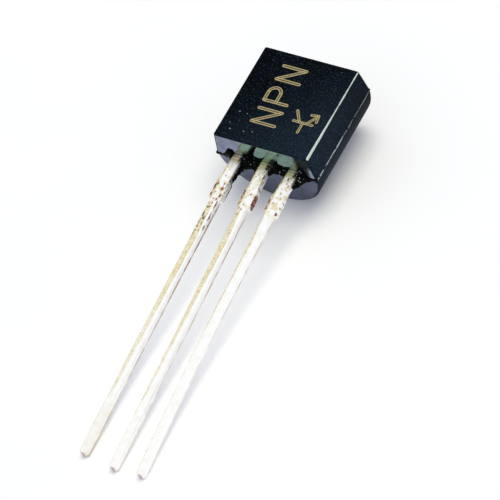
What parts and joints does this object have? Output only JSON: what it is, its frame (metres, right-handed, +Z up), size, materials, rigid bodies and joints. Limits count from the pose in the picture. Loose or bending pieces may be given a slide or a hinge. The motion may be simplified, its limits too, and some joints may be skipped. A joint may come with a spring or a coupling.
{
  "type": "npn transistor",
  "caption": "Small npn transistor: black moulded body with a flat front and a half-round back, lying on its round back and the tips of its long stamped leads.",
  "frame": {"origin": "on the floor under the centre of the whole part's box", "axes": "+Z up, out of the flat (which lies tilted by 3.6 degrees), -Y towards the lead tips, +X across the leads towards the base lead"},
  "size_m": [0.0046, 0.0184, 0.0037],
  "materials": {
    "moulding_compound": "black filled epoxy, fine satin grain",
    "tinned_lead": "solder dipped copper alloy, bright, copper bare at the cut dam bar",
    "conductive_adhesive": "silver filled adhesive",
    "silicon": "polished",
    "gold_wire": "drawn gold"
  },
  "bodies": {
    "root": {"moulded_body": "moulding_compound", "emitter_lead": "tinned_lead", "collector_lead": "tinned_lead", "base_lead": "tinned_lead", "die_attach": "conductive_adhesive", "silicon_die": "silicon", "emitter_bond_wire": "gold_wire", "base_bond_wire": "gold_wire"}
  },
  "joints": []
}
